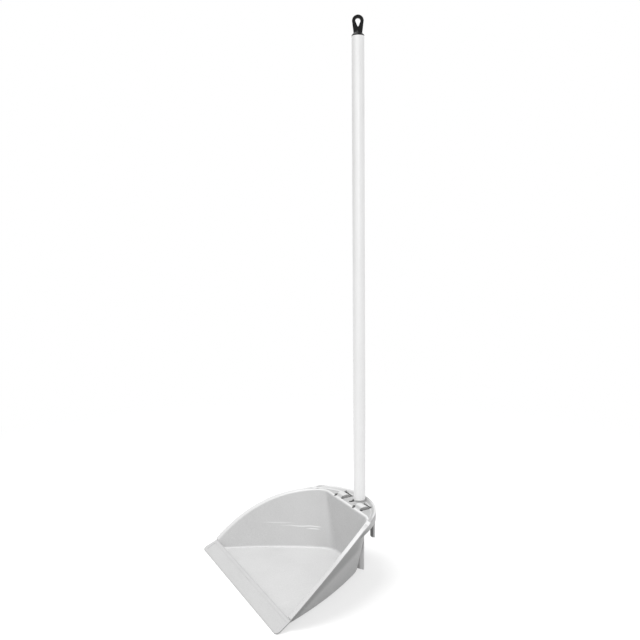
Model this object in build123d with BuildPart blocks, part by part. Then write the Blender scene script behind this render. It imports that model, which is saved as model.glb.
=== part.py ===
from build123d import *
import os
from math import asin, cos, hypot, radians, sin

# A long-handled dustpan: a moulded pan with a soft front lip, and a coated tube handle
# that pushes into a socket in the pan's rear deck.
# Millimetres. +X to the right seen from the front, +Y to the rear, +Z up.
# The origin is on the ground, under the middle of the pan.

os.makedirs("parts", exist_ok=True)

# Plan, from the lip's front edge to the rear edge of the deck
lip_depth = 27.0            # front edge of the lip to its crest
pan_reach = 191.0           # crest of the lip to the inside of the back wall
handle_setback = 30.5       # inside of the back wall to the handle's axis
deck_margin = 13.0          # handle's axis to the rear edge of the deck

# Pan shell
wall = 2.5                  # moulded wall thickness
floor_front_half = 152.5    # half width of the floor at the crest of the lip
floor_back_half = 45.5      # half width of the floor at the back wall, corners left sharp
floor_bow = 8.5             # outward bow of the floor's side edges
floor_corner = 42.0         # rear corners of the floor, inside
rim_front_half = 205.0      # the same sizes at deck height, with the walls carried up to it
rim_back_half = 81.5
rim_bow = 9.0
rim_corner = 28.0
floor_fillet = 5.0          # floor to wall, inside
base_round = 7.5            # floor to wall, outside

# Rim and deck
deck_height = 110.0         # top of the deck
rim_front_height = 17.5     # top of the rim where it meets the lip
rim_steep = 107.5           # crest of the lip to where the rim line, kept straight, reaches deck height
rim_level = 15.0            # inside of the back wall to where the curved rim line comes level
rim_flange = 8.5            # width of the flange, from the inside of the wall
flange_thickness = 3.0
skirt_front_drop = 3.5      # turned-down edge of the flange, at the lip
skirt_drop = 10.0           # and at the deck
deck_radius = 127.6         # round rear outline of the deck
bead_width = 9.0            # raised outer edge of the deck, sloping down to it on the inside
bead_crest = 1.5            # level top of the raised edge
bead_height = 4.5
bead_run = 32.0             # length over which the raised edge fades out along the sides
rim_round = 4.0             # rounded inner edge of the rim

# Lip
lip_inset = 2.0             # rim's outer edge to the lip's rear corner
lip_flare = 5.5             # lip's rear corner to its wider front corner, sideways
lip_corner = 7.0
lip_height = 14.6           # crest of the lip
lip_edge = 0.8              # thickness of its front edge
lip_skin = 2.2              # thickness over the pan's tongue
lip_under = 1.5             # thickness of the leg below the tongue
lip_under_reach = 8.0       # length of that leg
lip_border = 6.0            # plain border round the lip's sunk panel
lip_panel_depth = 0.5
tongue_thickness = 2.2
tongue_start = 15.0         # front edge of the lip to the tongue, along the slope

# Handle
handle_diameter = 22.0
sleeve_thickness = 0.3
tube_wall = 0.5
handle_rise = 826.0         # deck to the top of the tube
socket_depth = 50.0         # handle's depth in its socket
socket_wall = 3.0
socket_floor = 3.0
socket_clearance = 0.06     # radial, sliding
socket_drain = 3.0          # radius of the hole in the socket's floor
socket_rib_middle = 9.0     # plane of symmetry to the middle of a socket rib
collar_height = 2.5
plug_flange = 3.0
plug_length = 26.0
plug_wall = 2.0
plug_clearance = 0.05       # radial, between the plugs and the tube
split_width = 6.0           # slot in the front of the socket
split_reach = 9.5
split_depth = 26.0

# Hanging cap
cap_spigot = 25.0
cap_collar_height = 1.5
cap_neck = 15.0             # width of the neck under the eye
cap_neck_rise = 6.0         # tube's end to the neck
eye_width = 20.0
eye_rise = 25.5             # tube's end to the centre of the eye
eye_hole_radius = 4.5
eye_hole_drop = 11.5        # eye's centre to the point of the teardrop
eye_thickness = 5.0
eye_round = 1.5             # rounded edges of the eye
eye_turn = -27.0            # degrees the eye is turned about the handle from facing +X

# Sprung tabs, legs and hooks
tab_middle = 34.0           # plane of symmetry to the middle of a tab
tab_width = 21.0
tab_root = 4.0              # inside of the back wall to the front end of the slots
tab_length = 25.0
tab_slot = 3.5
tab_hole = 3.0              # radius of the round front ends of the slots
tab_crown = 4.5
tab_travel = 12.0           # room under a tab to be pressed down
leg_outer = 50.0            # plane of symmetry to the outer corner of a leg
leg_reach = 10.5            # inside of the back wall to the rear face of a leg
leg_slant = 31.0            # degrees from the back wall to a leg's slanted plate
leg_slant_length = 28.0
leg_width = 14.0
hook_middle = 63.0          # plane of symmetry to a hook
hook_length = 48.0          # below the deck
hook_depth = 10.0
hook_width = 14.0
hook_plate = 4.5
hook_round = 5.0

# Places worked out from the sizes
pan_length = lip_depth + pan_reach + handle_setback + deck_margin
front_y = -pan_length / 2
crest_y = front_y + lip_depth
sill_y = crest_y - wall
back_y = crest_y + pan_reach
handle_y = back_y + handle_setback
rear_y = handle_y + deck_margin
level_y = back_y + rim_level
deck_centre_y = rear_y - deck_radius
handle_radius = handle_diameter / 2
tube_radius = handle_radius - sleeve_thickness
tube_bore = tube_radius - tube_wall
socket_bore = handle_radius + socket_clearance
socket_radius = socket_bore + socket_wall
handle_foot = deck_height - socket_depth
tube_foot = handle_foot + plug_flange
tube_top = deck_height + handle_rise
deck_under = deck_height - flange_thickness
mould_top = deck_height + 2 * bead_height
lip_run = hypot(lip_depth, lip_height - lip_edge)
lip_slope = (lip_height - lip_edge) / lip_depth
lip_deep = lip_skin + tongue_thickness + lip_under
lip_rise_share = (lip_height - lip_edge) / lip_run
lip_level_share = lip_depth / lip_run
tongue_half = floor_front_half
leg_rear = back_y + leg_reach
hook_turn = asin(hook_middle / deck_radius)
hook_foot = deck_height - hook_length


def level_share(z):
    """How far a height lies from the pan's floor, 0, to the deck, 1."""
    return (z - wall) / (deck_height - wall)


def between(low, high, z):
    """A size that changes evenly from the floor to the deck, at height z."""
    return low + (high - low) * level_share(z)


def lip_point(along, down):
    """A point of the lip's section: along its slope from the front edge, and down square to it."""
    y = front_y + along * lip_level_share + down * lip_rise_share
    z = lip_edge + along * lip_rise_share - down * lip_level_share
    return (y, z)


def lip_top(y, down):
    """Height of the lip's sloping top at y, lowered by a thickness square to the slope."""
    return lip_edge + (y - front_y) * lip_slope - down / lip_level_share


def lip_section(depth):
    """The lip's section in side view: its slope, cut off square to it at a depth, and the ground."""
    with BuildSketch() as section:
        with BuildLine():
            Polyline(
                (front_y, 0),
                (front_y, lip_edge),
                (crest_y, lip_height),
                (crest_y, lip_top(crest_y, depth)),
                (front_y + (depth / lip_level_share - lip_edge) / lip_slope, 0),
                close=True,
            )
        make_face()
    return section.sketch


def front_half(z):
    """Half width of the pan at height z, at the crest of the lip."""
    return between(floor_front_half, rim_front_half, z)


def back_half(z):
    """Half width of the pan at height z, at the back wall, corners left sharp."""
    return between(floor_back_half, rim_back_half, z)


def taper(z):
    """Sideways run of the side walls at height z, for each millimetre towards the front."""
    return (front_half(z) - back_half(z)) / pan_reach


def sideways(z, grow):
    """Sideways part of a side wall's growth square to itself."""
    return grow * hypot(1, taper(z))


def plan_outline(z, grow, front):
    """The pan's plan at height z, grown outwards, from front to the back wall."""
    bow = between(floor_bow, rim_bow, z)
    corner = between(floor_corner, rim_corner, z) + grow
    rear = back_y + grow
    x_front = front_half(z) + taper(z) * (crest_y - front) + sideways(z, grow)
    x_rear = back_half(z) - taper(z) * grow + sideways(z, grow)
    with BuildSketch() as outline:
        with BuildLine():
            Line((-x_front, front), (x_front, front))
            SagittaArc((x_front, front), (x_rear, rear), -bow)
            Line((x_rear, rear), (-x_rear, rear))
            SagittaArc((-x_rear, rear), (-x_front, front), -bow)
        make_face()
        fillet(outline.vertices().group_by(Axis.Y)[-1], radius=corner)
    return outline.sketch


def pan_block(base, grow, front):
    """A solid with the pan's plan at each height, from base up, grown outwards."""
    with BuildPart() as block:
        for z in (base, mould_top):
            with BuildSketch(Plane.XY.offset(z)):
                add(plan_outline(z, grow, front))
        loft(ruled=True)
    return block.part


def wall_block(base, grow, front, foot_round):
    """The pan's plan from base up, with its foot rounded at the sides and the rear."""
    with BuildPart() as block:
        add(pan_block(base, grow, front))
        foot_edges = block.faces().sort_by(Axis.Z)[0].edges()
        fillet(foot_edges.sort_by(Axis.Y)[1:], radius=foot_round)
    return block.part


def under_rim(front_drop, back_drop):
    """Everything below the rim line, with its two ends lowered, and below the lip in front of it."""
    front_top = rim_front_height - front_drop
    back_top = deck_height - back_drop
    with BuildPart() as region:
        with BuildSketch(Plane.YZ.offset(-2 * rim_front_half)):
            with BuildLine():
                Polyline(
                    (level_y, back_top),
                    (pan_length, back_top),
                    (pan_length, 0),
                    (sill_y, 0),
                    (sill_y, lip_top(sill_y, lip_skin)),
                    (crest_y, lip_top(crest_y, lip_skin)),
                    (crest_y, front_top),
                )
                Bezier((crest_y, front_top), (crest_y + rim_steep, back_top), (level_y, back_top))
            make_face()
        extrude(amount=4 * rim_front_half)
    return region.part


def deck_disc(radius):
    """A tall round solid on the deck's centre."""
    with BuildPart() as disc:
        with Locations((0, deck_centre_y, 0)):
            Cylinder(radius, mould_top, align=(Align.CENTER, Align.CENTER, Align.MIN))
    return disc.part


def on_rim_line(edge):
    """Whether an edge runs along the top of the rim, behind its front end."""
    middle = edge.position_at(0.5)
    gap = min(face.distance_to(middle) for face in rim_tops)
    return middle.Y > crest_y + wall and gap < wall / 100


rim_tops = [face for face in under_rim(0, 0).faces() if face.normal_at(face.center()).Z > 0.5]
lip_back_half = front_half(rim_front_height) + sideways(rim_front_height, rim_flange) - lip_inset
lip_front_half = lip_back_half + lip_flare


# Inside of the pan
with BuildPart() as cavity:
    add(wall_block(wall, 0, crest_y, floor_fillet))

# Outside of the walls and floor
with BuildPart() as shell:
    add(wall_block(0, wall, sill_y, base_round))

# Rim flange and deck plate, one sheet over the rim line, left tall
with BuildPart() as rim_sheet:
    add(pan_block(0, rim_flange, crest_y))
    add(deck_disc(deck_radius))
    add(under_rim(flange_thickness, flange_thickness), mode=Mode.SUBTRACT)

# Turned-down edge round the flange and the deck, left tall
with BuildPart() as rim_skirt:
    add(pan_block(0, rim_flange, crest_y))
    add(deck_disc(deck_radius))
    add(pan_block(0, rim_flange - wall, crest_y), mode=Mode.SUBTRACT)
    add(deck_disc(deck_radius - wall), mode=Mode.SUBTRACT)
    add(under_rim(skirt_front_drop, skirt_drop), mode=Mode.SUBTRACT)

# Tongue that carries the lip, on the lip's slope
with BuildPart() as tongue:
    with BuildSketch(Plane.YZ):
        with BuildLine():
            Polyline(
                lip_point(tongue_start, lip_skin),
                lip_point(lip_run, lip_skin),
                lip_point(lip_run, lip_skin + tongue_thickness),
                lip_point(tongue_start, lip_skin + tongue_thickness),
                close=True,
            )
        make_face()
    extrude(amount=tongue_half, both=True)

# Raised outer edge of the deck, sinking into the rim at the sides
with BuildPart() as bead:
    add(deck_disc(deck_radius))
    add(deck_disc(deck_radius - bead_width), mode=Mode.SUBTRACT)
    with Locations((0, deck_centre_y, deck_height)):
        Cone(
            deck_radius - bead_width,
            deck_radius + bead_width - 2 * bead_crest,
            2 * bead_height,
            align=(Align.CENTER, Align.CENTER, Align.MIN),
            mode=Mode.SUBTRACT,
        )
    with BuildSketch(Plane.YZ):
        with BuildLine():
            bead_top = deck_height + bead_height
            TangentArc((level_y, bead_top), (level_y - bead_run, deck_under), tangent=(-1, 0))
            Polyline(
                (level_y, bead_top),
                (pan_length, bead_top),
                (pan_length, deck_under),
                (level_y - bead_run, deck_under),
            )
        make_face()
    extrude(amount=2 * deck_radius, both=True, mode=Mode.INTERSECT)

# Handle socket under the deck, kept inside the deck's outline, with two ribs to the back wall
with BuildPart() as socket:
    with Locations((0, handle_y, handle_foot - socket_floor)):
        socket_height = socket_depth + socket_floor
        Cylinder(socket_radius, socket_height, align=(Align.CENTER, Align.CENTER, Align.MIN))
    with Locations((0, back_y + wall / 2, handle_foot - socket_floor)):
        with Locations((-socket_rib_middle, 0), (socket_rib_middle, 0)):
            Box(
                wall,
                handle_setback - wall / 2,
                deck_under - handle_foot + socket_floor + flange_thickness / 2,
                align=(Align.CENTER, Align.MIN, Align.MIN),
            )
    add(deck_disc(deck_radius), mode=Mode.INTERSECT)

# Right leg: a slanted plate off the back wall and a plate across its rear
with BuildPart() as leg:
    with BuildSketch(Plane.XY):
        with Locations(Location((leg_outer, leg_rear, 0), (0, 0, leg_slant))):
            Rectangle(leg_slant_length, wall, align=(Align.MAX, Align.MAX))
        with Locations((leg_outer, leg_rear)):
            Rectangle(leg_width, wall, align=(Align.MAX, Align.MAX))
    extrude(amount=deck_under + flange_thickness / 2)

# Right hook: a plate flush with the deck's edge and a rib behind it
hook_out = Vector(sin(hook_turn), cos(hook_turn), 0)
hook_side = Vector(cos(hook_turn), -sin(hook_turn), 0)
hook_top = deck_under + flange_thickness / 2
with BuildPart() as hook:
    with BuildSketch(Plane(origin=(0, deck_centre_y, 0), x_dir=hook_side, z_dir=hook_out)) as plate:
        with Locations((0, hook_foot)):
            Rectangle(hook_width, hook_top - hook_foot, align=(Align.CENTER, Align.MIN))
        fillet(plate.vertices().group_by(Axis.Y)[0], radius=hook_round)
    extrude(amount=2 * deck_radius)
    add(deck_disc(deck_radius - hook_plate), mode=Mode.SUBTRACT)
    with BuildSketch(Plane(origin=(0, deck_centre_y, 0), x_dir=hook_out, z_dir=hook_side)) as rib:
        with Locations((deck_radius - hook_depth, hook_foot)):
            Rectangle(hook_depth - wall / 2, hook_top - hook_foot, align=(Align.MIN, Align.MIN))
        fillet(rib.vertices().group_by(Axis.X)[0].sort_by(Axis.Y)[0], radius=hook_round)
    extrude(amount=wall / 2, both=True)
    add(deck_disc(deck_radius), mode=Mode.INTERSECT)

# Right tab: the slots round it, the room under it and its crowned top
tab_front = back_y + tab_root
tab_rear = tab_front + tab_length - tab_slot
slot_middle = (tab_width + tab_slot) / 2
with BuildPart() as tab_slots:
    with Locations((tab_middle, tab_front, deck_under - tab_travel)):
        Box(
            tab_width + 2 * tab_slot,
            tab_length,
            mould_top,
            align=(Align.CENTER, Align.MIN, Align.MIN),
        )
        Box(
            tab_width,
            tab_length - tab_slot,
            mould_top,
            align=(Align.CENTER, Align.MIN, Align.MIN),
            mode=Mode.SUBTRACT,
        )
    with Locations((tab_middle, tab_front + tab_hole, deck_under - tab_travel)):
        with Locations((-slot_middle, 0), (slot_middle, 0)):
            Cylinder(tab_hole, mould_top, align=(Align.CENTER, Align.CENTER, Align.MIN))

with BuildPart() as tab_room:
    with Locations((tab_middle, tab_front, deck_under)):
        Box(
            tab_width + 2 * tab_slot,
            tab_length,
            tab_travel,
            align=(Align.CENTER, Align.MIN, Align.MAX),
        )

with BuildPart() as tab_pad:
    with BuildSketch(Plane.YZ.offset(tab_middle)):
        with BuildLine():
            Polyline(
                (tab_front, deck_height),
                (tab_front, deck_under),
                (tab_rear, deck_under),
                (tab_rear, deck_height),
            )
            SagittaArc((tab_front, deck_height), (tab_rear, deck_height), tab_crown)
        make_face()
    extrude(amount=tab_width / 2, both=True)

# Walls, floor, rim, deck and legs together, cut to the rim line and hollowed
with BuildPart() as moulding:
    add(shell.part)
    add(rim_sheet.part)
    add(rim_skirt.part)
    add(leg.part)
    add(mirror(leg.part, about=Plane.YZ))
    add(socket.part)
    add(hook.part)
    add(mirror(hook.part, about=Plane.YZ))
    add(under_rim(0, 0), mode=Mode.INTERSECT)
    add(cavity.part, mode=Mode.SUBTRACT)
    rim_edges = moulding.edges(Select.LAST).filter_by(on_rim_line)
    fillet(rim_edges, radius=rim_round)
    add(tongue.part)
    add(bead.part)
    with Locations((0, handle_y, deck_under)):
        collar_rise = flange_thickness + collar_height
        Cylinder(socket_radius, collar_rise, align=(Align.CENTER, Align.CENTER, Align.MIN))

# The whole pan, with its sprung tabs cut free and its handle socket bored and split
with BuildPart() as pan_body:
    add(moulding.part)
    add(tab_room.part, mode=Mode.SUBTRACT)
    add(mirror(tab_room.part, about=Plane.YZ), mode=Mode.SUBTRACT)
    add(tab_pad.part)
    add(mirror(tab_pad.part, about=Plane.YZ))
    add(tab_slots.part, mode=Mode.SUBTRACT)
    add(mirror(tab_slots.part, about=Plane.YZ), mode=Mode.SUBTRACT)
    with Locations((0, handle_y, handle_foot)):
        Cylinder(
            socket_bore,
            2 * socket_depth,
            align=(Align.CENTER, Align.CENTER, Align.MIN),
            mode=Mode.SUBTRACT,
        )
        Cylinder(socket_drain, 3 * socket_floor, mode=Mode.SUBTRACT)
    with Locations((0, handle_y, deck_height - split_depth)):
        Box(
            split_width,
            socket_bore + split_reach,
            2 * split_depth,
            align=(Align.CENTER, Align.MAX, Align.MIN),
            mode=Mode.SUBTRACT,
        )
pan_body.part.label = "pan_body"
export_step(pan_body.part, "parts/pan_body.step")

# Soft lip: a sloping skin, a wedge under it that grips the tongue, and a sunk panel on its slope
with BuildPart() as lip_strip:
    with BuildSketch(Plane.YZ):
        add(lip_section(lip_skin))
    extrude(amount=2 * lip_front_half, both=True)
    with BuildSketch(Plane.YZ):
        add(lip_section(lip_deep))
    extrude(amount=tongue_half + lip_under, both=True)
    with BuildSketch() as lip_plan:
        with BuildLine():
            Polyline(
                (-lip_front_half, front_y),
                (lip_front_half, front_y),
                (lip_back_half, crest_y),
                (-lip_back_half, crest_y),
                close=True,
            )
        make_face()
        fillet(lip_plan.vertices().group_by(Axis.Y)[0], radius=lip_corner)
    extrude(amount=2 * lip_height, mode=Mode.INTERSECT)
    with BuildSketch(Plane.YZ):
        with BuildLine():
            Polyline(
                lip_point(tongue_start + lip_under_reach, lip_skin),
                lip_point(2 * lip_run, lip_skin),
                lip_point(2 * lip_run, 2 * lip_deep),
                lip_point(tongue_start + lip_under_reach, 2 * lip_deep),
                close=True,
            )
        make_face()
    extrude(amount=2 * lip_front_half, both=True, mode=Mode.SUBTRACT)
    with BuildSketch(Plane.YZ):
        with BuildLine():
            Polyline(
                lip_point(lip_border, -lip_height),
                lip_point(lip_run - lip_border, -lip_height),
                lip_point(lip_run - lip_border, lip_panel_depth),
                lip_point(lip_border, lip_panel_depth),
                close=True,
            )
        make_face()
    extrude(amount=lip_back_half - lip_border, both=True, mode=Mode.SUBTRACT)
    add(moulding.part, mode=Mode.SUBTRACT)
lip_strip.part.label = "lip_strip"
export_step(lip_strip.part, "parts/lip_strip.step")

# Steel tube
with BuildPart() as handle_tube:
    with Locations((0, handle_y, tube_foot)):
        Cylinder(tube_radius, tube_top - tube_foot, align=(Align.CENTER, Align.CENTER, Align.MIN))
        Cylinder(
            tube_bore,
            tube_top - tube_foot,
            align=(Align.CENTER, Align.CENTER, Align.MIN),
            mode=Mode.SUBTRACT,
        )
handle_tube.part.label = "handle_tube"
export_step(handle_tube.part, "parts/handle_tube.step")

# White skin on the tube
with BuildPart() as handle_sleeve:
    with Locations((0, handle_y, tube_foot)):
        Cylinder(handle_radius, tube_top - tube_foot, align=(Align.CENTER, Align.CENTER, Align.MIN))
        Cylinder(
            tube_radius,
            tube_top - tube_foot,
            align=(Align.CENTER, Align.CENTER, Align.MIN),
            mode=Mode.SUBTRACT,
        )
handle_sleeve.part.label = "handle_sleeve"
export_step(handle_sleeve.part, "parts/handle_sleeve.step")

# Plug in the tube's lower end
with BuildPart() as end_plug:
    with Locations((0, handle_y, handle_foot)):
        Cylinder(handle_radius, plug_flange, align=(Align.CENTER, Align.CENTER, Align.MIN))
        Cylinder(
            tube_bore - plug_clearance,
            plug_flange + plug_length,
            align=(Align.CENTER, Align.CENTER, Align.MIN),
        )
    with Locations((0, handle_y, tube_foot)):
        Cylinder(
            tube_bore - plug_clearance - plug_wall,
            2 * plug_length,
            align=(Align.CENTER, Align.CENTER, Align.MIN),
            mode=Mode.SUBTRACT,
        )
end_plug.part.label = "end_plug"
export_step(end_plug.part, "parts/end_plug.step")

# Hanging cap: spigot, collar, neck and an eye with a teardrop hole
eye_plane = Plane(
    origin=(0, handle_y, tube_top),
    x_dir=(-sin(radians(eye_turn)), cos(radians(eye_turn)), 0),
    z_dir=(cos(radians(eye_turn)), sin(radians(eye_turn)), 0),
)
with BuildPart() as hanging_cap:
    with BuildSketch(eye_plane):
        with BuildLine():
            eye_half = eye_width / 2
            neck_half = cap_neck / 2
            Polyline(
                (-eye_half, eye_rise),
                (-neck_half, cap_neck_rise),
                (-neck_half, 0),
                (neck_half, 0),
                (neck_half, cap_neck_rise),
                (eye_half, eye_rise),
            )
            ThreePointArc((eye_half, eye_rise), (0, eye_rise + eye_half), (-eye_half, eye_rise))
        make_face()
    extrude(amount=eye_thickness / 2, both=True)
    eye_faces = hanging_cap.faces().filter_by(GeomType.PLANE).sort_by(SortBy.AREA)[-2:]
    fillet(eye_faces.edges().sort_by(Axis.Z)[2:], radius=eye_round)
    with BuildSketch(eye_plane) as eye_hole:
        with BuildLine():
            hole_lean = asin(eye_hole_radius / eye_hole_drop)
            hole_x = eye_hole_radius * cos(hole_lean)
            hole_z = eye_rise - eye_hole_radius * sin(hole_lean)
            Polyline((-hole_x, hole_z), (0, eye_rise - eye_hole_drop), (hole_x, hole_z))
            ThreePointArc((hole_x, hole_z), (0, eye_rise + eye_hole_radius), (-hole_x, hole_z))
        make_face()
        fillet(eye_hole.vertices().sort_by(Axis.Y)[0], radius=eye_hole_radius / 4)
    extrude(amount=eye_thickness, both=True, mode=Mode.SUBTRACT)
    with Locations((0, handle_y, tube_top)):
        Cylinder(handle_radius, cap_collar_height, align=(Align.CENTER, Align.CENTER, Align.MIN))
        Cylinder(
            tube_bore - plug_clearance,
            cap_spigot,
            align=(Align.CENTER, Align.CENTER, Align.MAX),
        )
    with Locations((0, handle_y, tube_top + cap_collar_height)):
        Cone(
            handle_radius,
            eye_thickness / 2,
            2 * (cap_neck_rise - cap_collar_height),
            align=(Align.CENTER, Align.CENTER, Align.MIN),
        )
    with Locations((0, handle_y, tube_top)):
        Cylinder(
            tube_bore - plug_clearance - plug_wall,
            cap_spigot,
            align=(Align.CENTER, Align.CENTER, Align.MAX),
            mode=Mode.SUBTRACT,
        )
hanging_cap.part.label = "hanging_cap"
export_step(hanging_cap.part, "parts/hanging_cap.step")
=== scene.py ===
from collections import namedtuple
from math import cos, radians, sin

import bpy
from bpy.props import FloatProperty, FloatVectorProperty, PointerProperty
from mathutils import Matrix, Vector


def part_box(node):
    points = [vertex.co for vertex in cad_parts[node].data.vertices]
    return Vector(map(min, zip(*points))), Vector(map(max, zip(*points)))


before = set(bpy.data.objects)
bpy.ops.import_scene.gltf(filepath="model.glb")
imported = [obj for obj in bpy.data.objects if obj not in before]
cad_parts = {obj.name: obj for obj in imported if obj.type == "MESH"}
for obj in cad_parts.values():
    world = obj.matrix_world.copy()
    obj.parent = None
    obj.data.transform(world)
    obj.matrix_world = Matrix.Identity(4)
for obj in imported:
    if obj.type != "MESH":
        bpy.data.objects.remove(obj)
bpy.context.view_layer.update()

bl_info = {
    "name": "Long-Handled Dustpan",
    "version": (1, 0, 0),
    "blender": (4, 5, 0),
    "location": "View3D > Sidebar > Dustpan",
    "description": "Finishes a long-handled dustpan and sets it on a studio floor",
    "category": "Object",
}


# Shader maths

# A band of values across which something fades in or out
Fade = namedtuple("Fade", "start end")


class Flow:
    """A socket of a material, with Python's operators adding the nodes that work them out."""

    def __init__(self, finish, socket):
        self.finish = finish
        self.socket = socket

    def join(self, operation, first, second):
        """One operator's node: Mix for colours, Vector Math for vectors and Math for values."""
        parts = (first, second)
        kinds = {part.socket.type for part in parts if isinstance(part, Flow)}
        if "VECTOR" in kinds:
            return self.finish.node("ShaderNodeVectorMath", {"operation": operation}, {0: first, 1: second})
        if "RGBA" in kinds or any(hasattr(part, "__len__") for part in parts):
            settings = {"data_type": "RGBA", "blend_type": operation}
            return self.finish.node("ShaderNodeMix", settings, {"Factor": 1.0, "A": first, "B": second})
        return self.finish.node("ShaderNodeMath", {"operation": operation}, {0: first, 1: second})

    def __add__(self, other):
        return self.join("ADD", self, other)

    def __radd__(self, other):
        return self.join("ADD", other, self)

    def __sub__(self, other):
        return self.join("SUBTRACT", self, other)

    def __rsub__(self, other):
        return self.join("SUBTRACT", other, self)

    def __mul__(self, other):
        return self.join("MULTIPLY", self, other)

    def __rmul__(self, other):
        return self.join("MULTIPLY", other, self)


class Finish:
    """A material being made, from its texture coordinates to its shader."""

    def __init__(self, owner):
        self.tree = owner.node_tree
        self.tree.nodes.clear()

    def feed(self, socket, value):
        """Links a flow into a socket, or sets the socket's own value."""
        if isinstance(value, Flow):
            self.tree.links.new(value.socket, socket)
        elif socket.type in ("RGBA", "VECTOR") and not hasattr(value, "__len__"):
            socket.default_value = [value] * 3 + [1.0] * (socket.type == "RGBA")
        elif socket.type == "RGBA":
            socket.default_value = [*value[:3], 1.0]
        else:
            socket.default_value = value

    def node(self, kind, settings=None, sockets=None, output=0):
        """Adds a node of a kind, sets its settings and then its sockets, and gives one of its outputs."""
        made = self.tree.nodes.new(kind)
        for name, value in (settings or {}).items():
            setattr(made, name, value)
        live = [socket for socket in made.inputs if socket.enabled]
        for key, value in (sockets or {}).items():
            named = [socket for socket in live if socket.name == key]
            self.feed(live[key] if isinstance(key, int) else named[0], value)
        outputs = [socket for socket in made.outputs if socket.enabled]
        named = [socket for socket in outputs if output in (socket.name, outputs.index(socket))]
        return Flow(self, named[0]) if named else None


def new_material(name):
    """A new material with nodes, and the finish that fills it."""
    material = bpy.data.materials.new(name)
    material.use_nodes = True
    return material, Finish(material)


def local_place(finish):
    """Where a point lies on its own piece, in metres."""
    return finish.node("ShaderNodeTexCoord", output="Object")


def facing(finish):
    """The way the surface faces."""
    return finish.node("ShaderNodeNewGeometry", output="Normal")


def part_of(finish, vector, axis):
    """One axis of a vector as a value."""
    return finish.node("ShaderNodeSeparateXYZ", sockets={"Vector": vector}, output=axis)


def cloud(finish, place, size, detail=2.0, roughness=0.5):
    """Soft noise whose lumps are about a size across, from 0 to 1 about a middle of a half."""
    sockets = {"Vector": place, "Scale": 1 / size, "Detail": detail, "Roughness": roughness}
    return finish.node("ShaderNodeTexNoise", sockets=sockets)


def cells(finish, place, size):
    """Distance to the nearest of many scattered points about a size apart."""
    sockets = {"Vector": place, "Scale": 1 / size}
    return finish.node("ShaderNodeTexVoronoi", sockets=sockets, output="Distance")


def span(finish, value, low, high, start=0.0, end=1.0):
    """A value's smooth change from start at low to end at high, held beyond them."""
    sockets = {"Value": value, "From Min": low, "From Max": high, "To Min": start, "To Max": end}
    return finish.node("ShaderNodeMapRange", {"interpolation_type": "SMOOTHSTEP"}, sockets)


def blend(finish, share, first, second):
    """A colour from first to second as share goes from 0 to 1."""
    settings = {"data_type": "RGBA", "blend_type": "MIX"}
    return finish.node("ShaderNodeMix", settings, {"Factor": share, "A": first, "B": second})


def rise(finish, value, fade):
    """0 below a fade and 1 above it."""
    return span(finish, value, fade.start, fade.end)


def fall(finish, value, fade):
    """1 below a fade and 0 above it."""
    return span(finish, value, fade.start, fade.end, 1.0, 0.0)


def thin_line(finish, value, middle, half):
    """1 where a value is at its middle, fading to 0 over a half width to each side."""
    return rise(finish, value, Fade(middle - half, middle)) * fall(finish, value, Fade(middle, middle + half))


def vary(finish, noise, least, most):
    """A multiplier from least to most over the middle half of a noise."""
    middle_half = Fade(0.25, 0.75)
    return span(finish, noise, middle_half.start, middle_half.end, least, most)


def swing(noise, amount):
    """A noise's swing about its middle, times an amount."""
    middle = 0.5
    return amount * (noise - middle)


def likeness(finish, first, second):
    """How alike two directions are: 1 for the same one and 0 for two that are square to each other."""
    settings = {"operation": "DOT_PRODUCT"}
    return finish.node("ShaderNodeVectorMath", settings, {0: first, 1: second}, output="Value")


def distance(finish, first, second):
    """The distance between two points."""
    settings = {"operation": "DISTANCE"}
    return finish.node("ShaderNodeVectorMath", settings, {0: first, 1: second}, output="Value")


def relief(finish, height, depth, strength=1.0):
    """A surface normal from a height of 0 to 1 over a depth in metres."""
    sockets = {"Strength": strength, "Distance": depth, "Height": height}
    return finish.node("ShaderNodeBump", sockets=sockets)


def worn_edge(finish, width):
    """How near a point is to a sharp edge: 0 on a flat and towards 1 on the edge."""
    turned = Fade(0.02, 0.30)
    rounded = finish.node("ShaderNodeBevel", {"samples": 6}, {"Radius": width})
    return rise(finish, 1 - likeness(finish, rounded, facing(finish)), turned)


def shut_in(finish, reach, clear):
    """How far surfaces within a reach shut a point in: from 1 to 0 as its open share passes a fade."""
    sockets = {"Distance": reach}
    open_share = finish.node("ShaderNodeAmbientOcclusion", {"samples": 12}, sockets, output="AO")
    return fall(finish, open_share, clear)


def close_material(finish, sockets):
    """Ends a material in one shader with these socket values and links."""
    shader = finish.node("ShaderNodeBsdfPrincipled", sockets=sockets)
    finish.node("ShaderNodeOutputMaterial", sockets={"Surface": shader})


def dress(node, material):
    """Gives a piece of the frame one material over all of it."""
    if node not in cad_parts:
        raise RuntimeError(f"the frame has no piece named {node}")
    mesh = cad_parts[node].data
    mesh.materials.clear()
    mesh.materials.append(material)


# Sizes and colours that a user would change

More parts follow.
